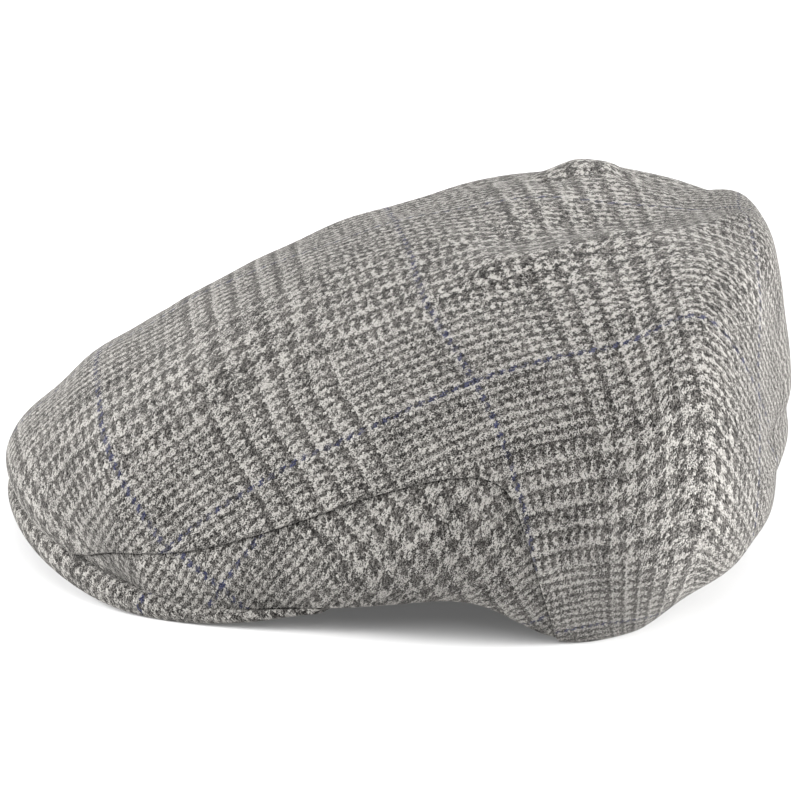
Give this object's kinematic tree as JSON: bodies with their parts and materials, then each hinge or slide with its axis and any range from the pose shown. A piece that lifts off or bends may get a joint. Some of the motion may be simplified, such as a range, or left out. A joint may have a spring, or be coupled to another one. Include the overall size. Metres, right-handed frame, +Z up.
{
  "type": "flat cap",
  "caption": "Flat cap of checked wool tweed: a rounded crown drawn forward over a short stiff peak, with a sewn-in panel at each side and an open hollow for the head.",
  "frame": {"origin": "centre of the bounding box at the level of the surface the cap rests on", "axes": "+Z up, the peak points to -Y, the wearer's left side is +X"},
  "size_m": [0.2096, 0.2674, 0.1301],
  "materials": {
    "wool_tweed": "matt brushed wool twill in a grey and dark brown check with a thin navy overcheck"
  },
  "bodies": {
    "root": {"crown": "wool_tweed", "side_panel_left": "wool_tweed", "side_panel_right": "wool_tweed", "peak": "wool_tweed"}
  },
  "joints": []
}
